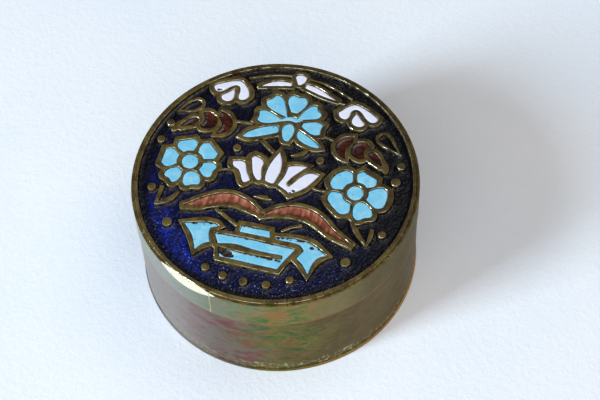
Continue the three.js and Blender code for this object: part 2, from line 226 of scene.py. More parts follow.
def dress(piece: bpy.types.Object, material: bpy.types.Material, slot: Slot, *nodes: str) -> None:
    """Gives a finished piece its material, its place on the body and the solids it stands for.

    Args:
        piece: The mesh object.
        material: Its material.
        slot: The record's name for that finish; not used.
        *nodes: The frame's solids that the piece replaces.
    """
    piece.data.materials.clear()
    piece.data.materials.append(material)
    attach(piece, BODY)
    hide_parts(*nodes)
    LOG.info("%s: %d faces, stands for %s", piece.name, len(piece.data.polygons), ", ".join(nodes))


def cloud_texture(name: str, size: float, kind: str = "CLOUDS", **settings: object) -> bpy.types.Texture:
    """A procedural texture for displacing meshes.

    Args:
        name: The texture's name.
        size: The size of its lumps, in metres.
        kind: Blender's name for the texture.
        **settings: Values for the texture's own properties.

    Returns:
        The texture.
    """
    texture = bpy.data.textures.get(name)
    if texture is None:
        texture = bpy.data.textures.new(name, kind)
        texture.noise_scale = size
        for key, value in settings.items():
            setattr(texture, key, value)
    return texture


# ---------------------------------------------------------------- shaders


@dataclass
class ShaderBench:
    """Lays out the nodes of one material, on Object coordinates in millimetres."""

    material: bpy.types.Material
    column: int = 0

    def node(self, kind: str, **settings: object) -> bpy.types.Node:
        """Adds a node.

        Args:
            kind: The node's type, without its ShaderNode prefix.
            **settings: Values for the node's own properties.

        Returns:
            The node.
        """
        made = self.material.node_tree.nodes.new("ShaderNode" + kind)
        made.location = (self.column * 190 - 1800, -(self.column % 5) * 170)
        self.column += 1
        for name, value in settings.items():
            setattr(made, name, value)
        return made

    def join(self, source: Socket | float | Colour, target: Socket) -> None:
        """Links a socket to another, or sets a plain value on it."""
        if isinstance(source, bpy.types.NodeSocket):
            self.material.node_tree.links.new(source, target)
        elif isinstance(source, tuple):
            target.default_value = (*source, 1.0) if len(target.default_value) == 4 else source
        else:
            target.default_value = source

    def place(self, stretch: Colour = (1.0, 1.0, 1.0)) -> Socket:
        """The point on the object, in millimetres, squeezed along each axis by a factor."""
        coordinates = self.node("TexCoord")
        mapping = self.node("Mapping", vector_type="POINT")
        mapping.inputs["Scale"].default_value = [factor / MM for factor in stretch]
        self.join(coordinates.outputs["Object"], mapping.inputs["Vector"])
        return mapping.outputs["Vector"]

    def noise(
        self,
        scale: float,
        detail: float = 3.0,
        roughness: float = 0.55,
        distortion: float = 0.0,
        stretch: Colour = (1.0, 1.0, 1.0),
    ) -> Socket:
        """Noise with so many lumps to the millimetre.

        Args:
            scale: Lumps to the millimetre.
            detail: Octaves of finer noise.
            roughness: How strong the finer octaves are.
            distortion: How far the lumps are swirled.
            stretch: How many times finer the pattern is along each axis.

        Returns:
            A value of 0 to 1.
        """
        made = self.node("TexNoise")
        for name, value in (
            ("Scale", scale),
            ("Detail", detail),
            ("Roughness", roughness),
            ("Distortion", distortion),
        ):
            made.inputs[name].default_value = value
        self.join(self.place(stretch), made.inputs["Vector"])
        return made.outputs["Fac"]

    def specks(self, scale: float, size: float, share: float) -> Socket:
        """Scattered round specks.

        Args:
            scale: Cells to the millimetre, each with room for one speck.
            size: A speck's radius, as a share of its cell.
            share: The share of cells that hold a speck.

        Returns:
            1 on a speck and 0 elsewhere, with a soft edge.
        """
        cells = self.node("TexVoronoi", feature="F1", distance="EUCLIDEAN")
        cells.inputs["Scale"].default_value = scale
        self.join(self.place(), cells.inputs["Vector"])
        near = self.between(cells.outputs["Distance"], size, size * 0.55)
        chance = self.node("SeparateColor")
        self.join(cells.outputs["Color"], chance.inputs["Color"])
        chosen = self.math("LESS_THAN", chance.outputs["Red"], share)
        return self.math("MULTIPLY", near, chosen)

    def math(self, operation: str, first: Socket | float, second: Socket | float = 0.0) -> Socket:
        """The result of one sum on two values."""
        made = self.node("Math", operation=operation)
        self.join(first, made.inputs[0])
        self.join(second, made.inputs[1])
        return made.outputs["Value"]

    def between(self, value: Socket, low: float, high: float) -> Socket:
        """0 where a value is at low and 1 where it is at high, eased, whichever is larger."""
        made = self.node("MapRange", interpolation_type="SMOOTHSTEP")
        flipped = low > high
        self.join(value, made.inputs["Value"])
        made.inputs["From Min"].default_value = min(low, high)
        made.inputs["From Max"].default_value = max(low, high)
        made.inputs["To Min"].default_value = float(flipped)
        made.inputs["To Max"].default_value = float(not flipped)
        return made.outputs["Result"]

    def spread(self, value: Socket, low: float, high: float) -> Socket:
        """A value of 0 to 1 spread between two others."""
        made = self.node("MapRange")
        self.join(value, made.inputs["Value"])
        made.inputs["To Min"].default_value = low
        made.inputs["To Max"].default_value = high
        return made.outputs["Result"]

    def mix(self, share: Socket | float, first: Socket | Colour, second: Socket | Colour) -> Socket:
        """A blend of two colours, all the second where share is 1."""
        made = self.node("Mix", data_type="RGBA", clamp_factor=True)
        self.join(share, made.inputs["Factor"])
        self.join(first, made.inputs["A"])
        self.join(second, made.inputs["B"])
        return made.outputs["Result"]

    def ramp(self, value: Socket, stops: Sequence[tuple[float, Colour]]) -> Socket:
        """A colour picked by a value from stops of (value, colour)."""
        made = self.node("ValToRGB")
        elements = made.color_ramp.elements
        while len(elements) < len(stops):
            elements.new(0.5)
        for element, (position, colour) in zip(elements, stops, strict=True):
            element.position = position
            element.color = (*colour, 1.0)
        self.join(value, made.inputs["Fac"])
        return made.outputs["Color"]

    def axis(self, name: str) -> Socket:
        """One coordinate of the point on the object, in millimetres."""
        made = self.node("SeparateXYZ")
        self.join(self.place(), made.inputs["Vector"])
        return made.outputs[name]

    def toward(self, degrees: float) -> Socket:
        """How far the point lies from the axis towards an angle around the box, in millimetres."""
        turn = math.radians(degrees)
        across = self.math("MULTIPLY", self.axis("X"), math.cos(turn))
        along = self.math("MULTIPLY", self.axis("Y"), math.sin(turn))
        return self.math("ADD", across, along)

    def around(self, radius: float) -> Socket:
        """How far around a circle of a radius in millimetres the point lies, from -Y."""
        turned = self.math("ARCTAN2", self.axis("X"), self.math("MULTIPLY", self.axis("Y"), -1.0))
        return self.math("MULTIPLY", turned, radius)

    def filed(self, flat: "FiledFlat") -> Socket:
        """1 on the flat that was filed across the edge, and 0 elsewhere."""
        rise = math.atan2(flat.inset, flat.height)
        out = self.math("MULTIPLY", self.toward(flat.angle), math.cos(rise))
        up = self.math("MULTIPLY", self.axis("Z"), math.sin(rise))
        reach = (flat.radius - flat.inset) * math.cos(rise) + flat.top * math.sin(rise)
        return self.between(self.math("ADD", out, up), reach / MM - 0.05, reach / MM - 0.02)

    def hatching(self, radius: float, scale: float, share: float) -> Socket:
        """Fine marks across a rim, strewn around it.

        Args:
            radius: The rim's radius, in millimetres.
            scale: Marks to the millimetre.
            share: How much of the rim is marked, 0 to 1.

        Returns:
            1 on a mark and 0 elsewhere.
        """
        made = self.node("TexNoise", noise_dimensions="1D")
        made.inputs["Scale"].default_value = scale
        made.inputs["Detail"].default_value = 2.0
        self.join(self.around(radius), made.inputs["W"])
        return self.between(made.outputs["Fac"], 0.72 - 0.2 * share, 0.8 - 0.2 * share)

    def bump(
        self, height: Socket, strength: Socket | float, depth: float, under: Socket | None = None
    ) -> Socket:
        """A bumped normal.

        Args:
            height: The height, 0 to 1.
            strength: How much of the bump shows.
            depth: The height of 1, in metres.
            under: A bump that this one lies on.

        Returns:
            The normal.
        """
        made = self.node("Bump")
        made.inputs["Distance"].default_value = depth
        self.join(height, made.inputs["Height"])
        self.join(strength, made.inputs["Strength"])
        if under is not None:
            self.join(under, made.inputs["Normal"])
        return made.outputs["Normal"]

    def surface(self, **inputs: Socket | float | Colour) -> bpy.types.Material:
        """Joins the results to the material's Principled shader.

        Args:
            **inputs: Sockets or values, by the shader's input names with _ for a space.

        Returns:
            The material.
        """
        shader = self.material.node_tree.nodes["Principled BSDF"]
        for name, value in inputs.items():
            self.join(value, shader.inputs[name.replace("_", " ")])
        return self.material


def new_bench(name: str) -> ShaderBench:
    """Starts an empty material with a Principled shader.

    Args:
        name: The material's name.

    Returns:
        The bench to lay its nodes out on.
    """
    material = bpy.data.materials.new(name)
    material.use_nodes = True
    return ShaderBench(material)


@dataclass(frozen=True)
class EnamelFinish:
    """Opaque glass in a cell: cloudy, specked, and stained where it dips to the brass around it."""

    name: str
    body: Colour
    cloud: Colour
    speck: Colour
    grime: Colour
    roughness: float
    speck_share: float = 0.1
    speck_scale: float = 1.1
    cloud_share: float = 0.6
    stain_depth: float = 0.2
    streak: Colour = (1.0, 1.0, 1.0)

    def material(self, top: float) -> bpy.types.Material:
        """Builds the material for cells whose surface is at one height.

        Args:
            top: The height of the enamel's surface, in metres.

        Returns:
            The material.
        """
        bench = new_bench(self.name)
        clouds = bench.between(bench.noise(0.45, 5, 0.6, 0.4, self.streak), 0.42, 0.68)
        colour = bench.mix(bench.math("MULTIPLY", clouds, self.cloud_share), self.body, self.cloud)
        fine = bench.between(bench.noise(3.2, 2, 0.6, 0.0, self.streak), 0.56, 0.75)
        colour = bench.mix(bench.math("MULTIPLY", fine, 0.35), colour, self.cloud)
        specks = bench.specks(self.speck_scale, 0.16, self.speck_share)
        pinholes = bench.specks(2.6, 0.2, self.speck_share * 0.8)
        colour = bench.mix(bench.math("MAXIMUM", specks, pinholes), colour, self.speck)
        ragged = bench.math("MULTIPLY", bench.math("SUBTRACT", bench.noise(2.2, 3), 0.5), 0.16)
        height = bench.math("ADD", bench.axis("Z"), ragged)
        level = top / MM
        stained = bench.between(height, level - 0.3 * self.stain_depth, level - self.stain_depth)
        colour = bench.mix(stained, colour, self.grime)
        relief = bench.bump(bench.noise(1.3, 4, 0.6), 0.35, 0.05 * MM)
        relief = bench.bump(bench.math("MAXIMUM", specks, pinholes), 0.6, -0.05 * MM, relief)
        sheen = bench.spread(bench.noise(0.8, 3), self.roughness - 0.15, self.roughness + 0.15)
        return bench.surface(
            Base_Color=colour, Roughness=sheen, Normal=relief, Metallic=0.0, Specular_IOR_Level=0.5
        )


@dataclass(frozen=True)
class GroundFinish:
    """The dark ground: translucent cobalt over rough brass, gritty, with painted light on it: bright blue towards the
    lower left as painted light, near black elsewhere as painted shade, a painted shadow inside the rim, painted
    highlights at the front, and darkened where it climbs the brass, partly grime and partly painted shade.
    """

    name: str = "cobalt_enamel"
    # deep, blue and bright are painted light: from near black as painted shade up to bright blue as painted light
    # towards the lower left.
    deep: Colour = srgb(2, 3, 10)
    blue: Colour = srgb(8, 15, 66)
    bright: Colour = srgb(18, 52, 190)
    # The colour of the painted highlights on the ground.
    painted_glint_colour: Colour = srgb(150, 160, 205)
    # grime: the colour of the grime specks, and of the glass where it climbs the brass, where it is partly painted
    # shade.
    grime: Colour = srgb(12, 9, 6)
    painted_light_side: float = 226.0

    def material(self, top: float) -> bpy.types.Material:
        """Builds the material.

        Args:
            top: The height of the ground's surface, in metres.

        Returns:
            The material.
        """
        bench = new_bench(self.name)
        # Painted light: the further the ground lies towards the lit lower left, the brighter the blue it is painted.
        toward = bench.toward(self.painted_light_side)
        patchy = bench.math("MULTIPLY", bench.math("SUBTRACT", bench.noise(0.22, 4, 0.65), 0.5), 24.0)
        lit = bench.math("ADD", toward, patchy)
        colour = bench.mix(bench.between(lit, -16.0, 14.0), self.deep, self.blue)
        colour = bench.mix(bench.between(lit, 20.0, 31.0), colour, self.bright)
        # Painted shadow: a ring just inside the rim is painted near black, as the rim's shadow on the ground.
        out = bench.node("VectorMath", operation="LENGTH")
        bench.join(bench.place((1.0, 1.0, 0.0)), out.inputs[0])
        painted_rim_shadow = bench.between(out.outputs["Value"], 25.4, 27.4)
        colour = bench.mix(bench.math("MULTIPLY", painted_rim_shadow, 0.9), colour, self.deep)
        grains = bench.between(bench.noise(1.8, 5, 0.8, 0.6), 0.4, 0.64)
        dim = bench.mix(0.9, colour, self.deep)
        colour = bench.mix(grains, dim, colour)
        # Painted highlights: pale blue streaks painted on the front of the ground, as reflections of the light.
        painted_glints = bench.between(bench.noise(3.0, 2, 0.6), 0.63, 0.74)
        front = bench.between(bench.toward(262), 4.0, 24.0)
        painted_glints = bench.math("MULTIPLY", painted_glints, front)
        colour = bench.mix(bench.math("MULTIPLY", painted_glints, 0.75), colour, self.painted_glint_colour)
        colour = bench.mix(bench.specks(1.3, 0.26, 0.2), colour, self.grime)
        climbed = bench.between(bench.axis("Z"), top / MM + 0.04, top / MM + 0.2)
        # Where the glass climbs the brass it is painted dark: partly grime, partly painted shade in the crease at the
        # brass.
        colour = bench.mix(bench.math("MULTIPLY", climbed, 0.9), colour, self.grime)
        calm = bench.spread(climbed, 1.0, 0.15)
        relief = bench.bump(bench.noise(1.2, 5, 0.7), calm, 0.13 * MM)
        relief = bench.bump(bench.noise(3.4, 2, 0.6), bench.math("MULTIPLY", calm, 0.5), 0.06 * MM, relief)
        gloss = bench.math("MULTIPLY", bench.spread(bench.noise(1.6, 3), 0.14, 0.36), bench.spread(climbed, 1.0, 0.3))
        return bench.surface(
            Base_Color=colour,
            Roughness=gloss,
            Normal=relief,
            Specular_IOR_Level=bench.spread(climbed, 0.22, 0.7),
        )


@dataclass(frozen=True)
class ReliefFinish:
    """Brass ground flat and gone olive brown, darker low down on the walls, with a rim marked by the file, and with
    painted shade darkening the tops towards the back right.
    """

    name: str = "relief_brass"
    olive: Colour = srgb(116, 97, 46)
    brown: Colour = srgb(74, 56, 22)
    rubbed: Colour = srgb(158, 140, 92)
    # grime colours the pits, the file marks and the walls' foot, and also serves as painted shade on the tops towards
    # the back right.
    grime: Colour = srgb(30, 20, 10)
    side: Colour = srgb(226, 214, 178)
    bare: Colour = srgb(240, 230, 200)
    roughness: float = 0.5
    side_roughness: float = 0.24
    metallic: float = 0.5
    painted_shade_side: float = 45.0

    def top_colour(self, bench: ShaderBench) -> Socket:
        """The colour of the flat tops: olive and brown in patches, rubbed here and there, and painted darker towards
        the back right as shade.
        """
        colour = bench.mix(bench.between(bench.noise(0.5, 4, 0.6), 0.35, 0.65), self.olive, self.brown)
        worn = bench.between(bench.noise(1.9, 4, 0.7), 0.56, 0.74)
        colour = bench.mix(bench.math("MULTIPLY", worn, 0.4), colour, self.rubbed)
        # Painted shade: the tops are painted darker the further they lie towards the back right, away from the light.
        away = bench.between(bench.toward(self.painted_shade_side), -6.0, 28.0)
        colour = bench.mix(bench.math("MULTIPLY", away, 0.5), colour, self.grime)
        pits = bench.specks(1.8, 0.2, 0.22)
        return bench.mix(bench.math("MULTIPLY", pits, 0.7), colour, self.grime)

    def rim_marks(self, bench: ShaderBench, radius: float) -> Socket:
        """1 on the file marks across the rim, and 0 elsewhere."""
        across = bench.node("VectorMath", operation="LENGTH")
        flattened = bench.place((1.0, 1.0, 0.0))
        bench.join(flattened, across.inputs[0])
        rim = bench.between(across.outputs["Value"], radius - 1.9, radius - 1.6)
        return bench.math("MULTIPLY", bench.hatching(radius, 1.4, 0.45), rim)

    def material(self, top: float, flat: "FiledFlat") -> bpy.types.Material:
        """Builds the material for relief whose flat tops are at one height.

        Args:
            top: The height of the tops, in metres.
            flat: The flat that was filed across the edge.

        Returns:
            The material.
        """
        bench = new_bench(self.name)
        marks = self.rim_marks(bench, flat.radius / MM)
        colour = bench.mix(bench.math("MULTIPLY", marks, 0.6), self.top_colour(bench), self.grime)
        height = bench.axis("Z")
        side = bench.between(height, top / MM - 0.008, top / MM - 0.03)
        kept = bench.between(bench.noise(0.55, 4, 0.7), 0.44, 0.6)
        polish = bench.math("MULTIPLY", side, kept)
        colour = bench.mix(polish, colour, self.side)
        # The walls are darkened towards their foot, with a ragged edge.
        ragged = bench.math("MULTIPLY", bench.math("SUBTRACT", bench.noise(1.7, 3), 0.5), 0.8)
        low = bench.between(bench.math("ADD", height, ragged), top / MM - 0.5, top / MM - 1.0)
        colour = bench.mix(low, colour, self.grime)
        filed = bench.filed(flat)
        colour = bench.mix(filed, colour, self.bare)
        relief = bench.bump(bench.noise(1.4, 4, 0.7), 0.5, 0.05 * MM)
        relief = bench.bump(marks, 0.6, 0.06 * MM, relief)
        polished = bench.math("MAXIMUM", polish, filed)
        return bench.surface(
            Base_Color=colour,
            Metallic=bench.spread(polished, self.metallic, 1.0),
            Roughness=bench.spread(polished, self.roughness, self.side_roughness),
            Normal=relief,
        )


@dataclass(frozen=True)
class TarnishFinish:
    """Satin brass under thin tarnish whose colour runs in level streaks around the box, with painted light: a painted
    reflection paling the left, and at the right painted shade on the wall and band and a painted orange highlight on
    the base.

    Attributes:
        name: The material's name.
        painted_reflection_left: The colour at the far left: a painted reflection of the bright surroundings in the
            brass.
        left: The colour left of the front: tarnish paled as a painted reflection.
        front: The colours at the front, by how far along the streaks they come.
        right: The colour right of the front: brown tarnish with painted light, darker as painted shade on the wall
            and band, orange as a painted highlight on the base.
        dark: The colour at the far right: painted shade on the wall and band, a painted orange highlight on the base.
        blush: The pink tarnish left of the front.
        blush_share: How strongly it shows.
        scuffed_edge: The height below which the tarnish is scuffed off, if it is.
        seam_line: The height of the warm line just below the seam, if there is one.
        rim: The height of the top, where the rim is ground like the relief, if there is one.
        roughness: How rough the metal is.
        streak: How many times finer the streaks are along each axis.
    """

    name: str
    painted_reflection_left: Colour
    left: Colour
    front: Sequence[tuple[float, Colour]]
    right: Colour
    dark: Colour
    blush: Colour
    blush_share: float
    scuffed_edge: float | None = None
    seam_line: float | None = None
    rim: float | None = None
    roughness: float = 0.36
    streak: Colour = (0.42, 0.42, 1.0)
    scuff: Colour = srgb(206, 198, 158)
    speck: Colour = srgb(40, 34, 22)
    warm: Colour = srgb(176, 124, 100)
    bare: Colour = srgb(244, 234, 206)
    pale: Colour = srgb(206, 200, 140)
    edge_tint: Colour = (0.84, 0.81, 0.7)
    bright_from: float = 28.86
    seam_angle: float = 257.6

    def solder(self, bench: ShaderBench, flat: "FiledFlat") -> Socket:
        """1 on the pale line of solder where the band's ends meet, and 0 elsewhere."""
        turn = math.radians(self.seam_angle - 270)
        place = bench.math("SUBTRACT", bench.around(flat.radius / MM), turn * flat.radius / MM)
        kink = bench.math("MULTIPLY", bench.math("SUBTRACT", bench.noise(0.35, 2), 0.5), 0.7)
        off = bench.math("ABSOLUTE", bench.math("ADD", place, kink))
        line = bench.between(off, 0.2, 0.08)
        return bench.math("MULTIPLY", line, bench.between(bench.noise(1.6, 3), 0.36, 0.5))

    def zones(self, bench: ShaderBench) -> Socket:
        """The colour around the box: paler at the left as a painted reflection, the green and orange tarnish in
        front, and to the right brown tarnish with painted light, darker as shade on the wall and band and orange as a
        highlight on the base.
        """
        bands = bench.noise(0.5, 6, 0.72, 1.2, self.streak)
        front = bench.ramp(bench.between(bands, 0.34, 0.68), self.front)
        blotches = bench.between(bench.noise(0.26, 4, 0.62, 0.7, (0.4, 0.4, 1.0)), 0.46, 0.6)
        wander = bench.math("MULTIPLY", bench.math("SUBTRACT", bench.noise(0.1, 3, 0.6), 0.5), 24.0)
        leftward = bench.math("ADD", bench.toward(200), wander)
        rightward = bench.math("ADD", bench.toward(350), wander)
        left = bench.mix(bench.math("MULTIPLY", blotches, self.blush_share), self.left, self.blush)
        # Painted reflection: the far left is painted pale, as the bright surroundings reflected in the brass.
        left = bench.mix(bench.between(bench.toward(200), 14.0, 27.0), left, self.painted_reflection_left)
        colour = bench.mix(bench.between(leftward, 5.0, 15.0), front, left)
        # Painted light: the right is painted darker as shade on the wall and band, and orange as a highlight on the
        # base.
        colour = bench.mix(bench.between(rightward, 12.0, 24.0), colour, self.right)
        return bench.mix(bench.between(bench.toward(350), 22.5, 28.0), colour, self.dark)

    def material(self, flat: "FiledFlat | None" = None) -> bpy.types.Material:
        """Builds the material.

        Args:
            flat: The flat that was filed across the edge, where this finish meets it.

        Returns:
            The material.
        """
        bench = new_bench(self.name)
        colour = self.zones(bench)
        fine = bench.noise(1.4, 4, 0.72, 0.0, self.streak)
        colour = bench.mix(bench.math("MULTIPLY", bench.between(fine, 0.45, 0.8), 0.09), colour, self.scuff)
        colour = bench.mix(bench.math("MULTIPLY", bench.between(fine, 0.5, 0.22), 0.36), colour, self.speck)
        colour = bench.mix(bench.specks(0.8, 0.1, 0.14), colour, self.speck)
        if self.seam_line is not None:
            line = bench.between(bench.axis("Z"), self.seam_line - 1.3, self.seam_line - 0.2)
            colour = bench.mix(bench.math("MULTIPLY", line, 0.55), colour, self.warm)
        if self.scuffed_edge is not None:
            uneven = bench.math("MULTIPLY", bench.noise(0.7, 4, 0.75, 0.4), 3.4)
            level = bench.math("SUBTRACT", bench.axis("Z"), uneven)
            scuffs = bench.between(level, self.scuffed_edge - 1.1, self.scuffed_edge - 1.5)
            patches = bench.spread(bench.between(bench.noise(1.1, 4, 0.7), 0.5, 0.64), 0.0, 0.7)
            colour = bench.mix(bench.math("MULTIPLY", scuffs, patches), colour, self.scuff)
        metallic: Socket | float = 1.0
        relief = bench.bump(bench.noise(1.5, 4, 0.7, 0.0, self.streak), 0.4, 0.03 * MM)
        relief = bench.bump(bench.noise(0.22, 2), 0.4, 0.12 * MM, relief)
        if self.rim is not None and flat is not None:
            ground = ReliefFinish()
            marks = ground.rim_marks(bench, flat.radius / MM)
            # The rim takes the relief's top colour, including its painted shade towards the back right.
            top = bench.mix(bench.math("MULTIPLY", marks, 0.6), ground.top_colour(bench), ground.grime)
            on_rim = bench.between(bench.axis("Z"), self.rim - 0.16, self.rim - 0.06)
            colour = bench.mix(on_rim, colour, top)
            metallic = bench.spread(on_rim, 1.0, ground.metallic)
            relief = bench.bump(marks, 0.6, 0.06 * MM, relief)
            middle = bench.between(bench.toward(flat.angle - 1.5), self.bright_from, self.bright_from + 0.12)
            worn = bench.between(bench.noise(0.8, 4, 0.7), 0.28, 0.36)
            bright = bench.math("MULTIPLY", bench.filed(flat), bench.math("MULTIPLY", middle, worn))
            colour = bench.mix(bright, colour, self.bare)
            colour = bench.mix(self.solder(bench, flat), colour, self.pale)
        gloss = bench.noise(0.4, 4, 0.6, 0.0, self.streak)
        gloss = bench.spread(gloss, self.roughness - 0.1, self.roughness + 0.16)
        return bench.surface(
            Base_Color=colour,
            Metallic=metallic,
            Roughness=gloss,
            Normal=relief,
            Specular_Tint=self.edge_tint,
        )


# ---------------------------------------------------------------- shapes taken from the frame


@dataclass
class OutlineCutter:
    """Turns the flat top of one of the frame's solids into a plate with smooth, rounded edges."""

    corner: float = 62.0
    shortest: float = 0.06 * MM
    steps: int = 4
    wobble: float = 0.09 * MM
    wobble_size: float = 1.1 * MM

    def outlines(self, node: bpy.types.Object, top: float) -> Curve2D:
        """Copies a solid and keeps only the outlines of its flat top, as smooth curves.

        Args:
            node: The frame's solid.
            top: The height of the flat top.

        Returns:
            A curve object with one closed curve for each outline, at height 0.
        """
        copy = node.copy()
        copy.data = node.data.copy()
        copy.parent = None
        for key in list(copy.keys()):
            del copy[key]
        bpy.context.scene.collection.objects.link(copy)
        copy.name = "outline_work"
        with editing(copy):
            bpy.ops.mesh.select_all(action="SELECT")
            bpy.ops.mesh.remove_doubles(threshold=WELD)
            select_faces(
                copy,
                lambda face: face.normal.z > 0.99 and face.calc_center_median().z > top - 0.02 * MM,
            )
            bpy.ops.mesh.select_all(action="INVERT")
            bpy.ops.mesh.delete(type="FACE")
            select_edges(copy, lambda edge: edge.is_boundary)
            bpy.ops.mesh.select_all(action="INVERT")
            bpy.ops.mesh.delete(type="EDGE")
            bpy.ops.mesh.select_all(action="SELECT")
            bpy.ops.mesh.remove_doubles(threshold=self.shortest)
        make_active(copy)
        bpy.ops.object.convert(target="CURVE")
        curve = bpy.context.object
        with editing(curve):
            bpy.ops.curve.select_all(action="SELECT")
            bpy.ops.curve.spline_type_set(type="BEZIER")
            bpy.ops.curve.handle_type_set(type="AUTOMATIC")
        for spline in curve.data.splines:
            self.sharpen(spline)
        return curve

    def sharpen(self, spline: bpy.types.Spline) -> None:
        """Makes the true corners of one closed curve sharp again."""
        points = spline.bezier_points
        places = [point.co.copy() for point in points]
        for index, point in enumerate(points):
            before = (places[index] - places[index - 1]).to_2d()
            after = (places[(index + 1) % len(places)] - places[index]).to_2d()
            if before.length < WELD or after.length < WELD:
                continue
            if before.angle(after) > math.radians(self.corner):
                point.handle_left_type = "VECTOR"
                point.handle_right_type = "VECTOR"

    def plate(
        self, node: bpy.types.Object, low: float, top: float, bevel: float, bevel_steps: int = 1
    ) -> bpy.types.Object:
        """Stands the outlines up between two heights, with rounded edges.

        Args:
            node: The frame's solid that gives the outlines.
            low: The height of the underside.
            top: The height of the top.
            bevel: How far the edges are rounded.
            bevel_steps: The steps in that rounding.

        Returns:
            The mesh object.
        """
        curve = self.outlines(node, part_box(node.name)[1].z)
        data = curve.data
        data.dimensions = "2D"
        data.fill_mode = "BOTH"
        data.resolution_u = self.steps
        data.extrude = (top - low) / 2 - bevel
        data.bevel_depth = bevel
        data.bevel_resolution = bevel_steps
        data.offset = -bevel
        for spline in data.splines:
            for point in spline.bezier_points:
                point.co.z = 0
                point.handle_left.z = 0
                point.handle_right.z = 0
        curve.location.z = (top + low) / 2
        make_active(curve)
        bpy.ops.object.convert(target="MESH")
        made = bpy.context.object
        apply_place(made)
        with editing(made):
            bpy.ops.mesh.select_all(action="SELECT")
            bpy.ops.mesh.remove_doubles(threshold=WELD)
            bpy.ops.mesh.normals_make_consistent(inside=False)
        return made

    def hand_cut(self, piece: bpy.types.Object) -> None:
        """Lets the outlines wander a little, the same way for the brass and for what fills it."""
        for axis in ("X", "Y"):
            texture = cloud_texture(f"hand_cut_{axis}", self.wobble_size, noise_depth=2)
            texture.noise_basis = "BLENDER_ORIGINAL" if axis == "X" else "ORIGINAL_PERLIN"
            apply_modifier(
                piece,
                "DISPLACE",
                texture=texture,
                texture_coords="LOCAL",
                direction=axis,
                strength=self.wobble,
                mid_level=0.5,
            )


# ---------------------------------------------------------------- the lid


@dataclass(frozen=True)
class Chip:
    """A place where enamel has broken away.

    Attributes:
        x: Its place across the lid, in millimetres.
        y: Its place up the lid, in millimetres.
        radius: Its size, in millimetres.
        depth: How deep it goes below the enamel's surface, in millimetres.
    """

    x: float
    y: float
    radius: float
    depth: float = 0.35


def chipped_edge(start: Colour, end: Colour, count: int, size: float, seed: int) -> list[Chip]:
    """Small chips strewn along an edge.

    Args:
        start: Where the edge starts, as x and y in millimetres, and a third number that isn't used.
        end: Where it ends.
        count: How many chips there are.
        size: The mean radius of a chip, in millimetres.
        seed: The seed for their places.

    Returns:
        The chips.
    """
    draw = random.Random(seed)
    chips = []
    for _ in range(count):
        along = draw.random()
        x = start[0] + (end[0] - start[0]) * along + draw.uniform(-0.08, 0.08)
        y = start[1] + (end[1] - start[1]) * along + draw.uniform(-0.08, 0.08)
        chips.append(Chip(x, y, size * draw.uniform(0.6, 1.5), draw.uniform(0.2, 0.4)))
    return chips


